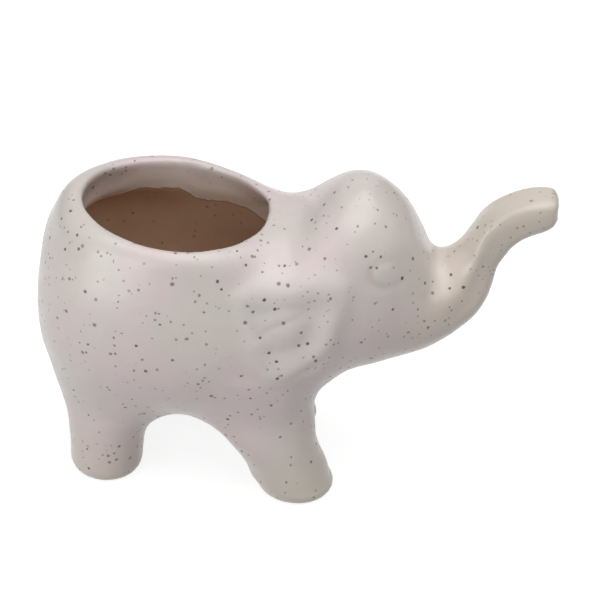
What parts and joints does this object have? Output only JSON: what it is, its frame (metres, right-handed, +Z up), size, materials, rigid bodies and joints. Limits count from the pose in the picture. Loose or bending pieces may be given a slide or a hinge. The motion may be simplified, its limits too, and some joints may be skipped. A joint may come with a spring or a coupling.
{
  "type": "animal shaped planter",
  "caption": "Glazed stoneware planter shaped as a standing elephant with raised trunk, oval opening in its back and a drain hole in the belly.",
  "frame": {"origin": "on the table plane under the soles, below the middle of the overall box", "axes": "+X along the animal towards its head and trunk, +Y across it towards its left side, +Z up"},
  "size_m": [0.1628, 0.0766, 0.1118],
  "materials": {
    "glaze": "glossy off-white glaze with fine dark speckles over stoneware"
  },
  "bodies": {
    "root": {"pot_body": "glaze", "head": "glaze", "trunk": "glaze", "ear_left": "glaze", "ear_right": "glaze", "front_leg_left": "glaze", "front_leg_right": "glaze", "rear_leg_left": "glaze", "rear_leg_right": "glaze"}
  },
  "joints": []
}
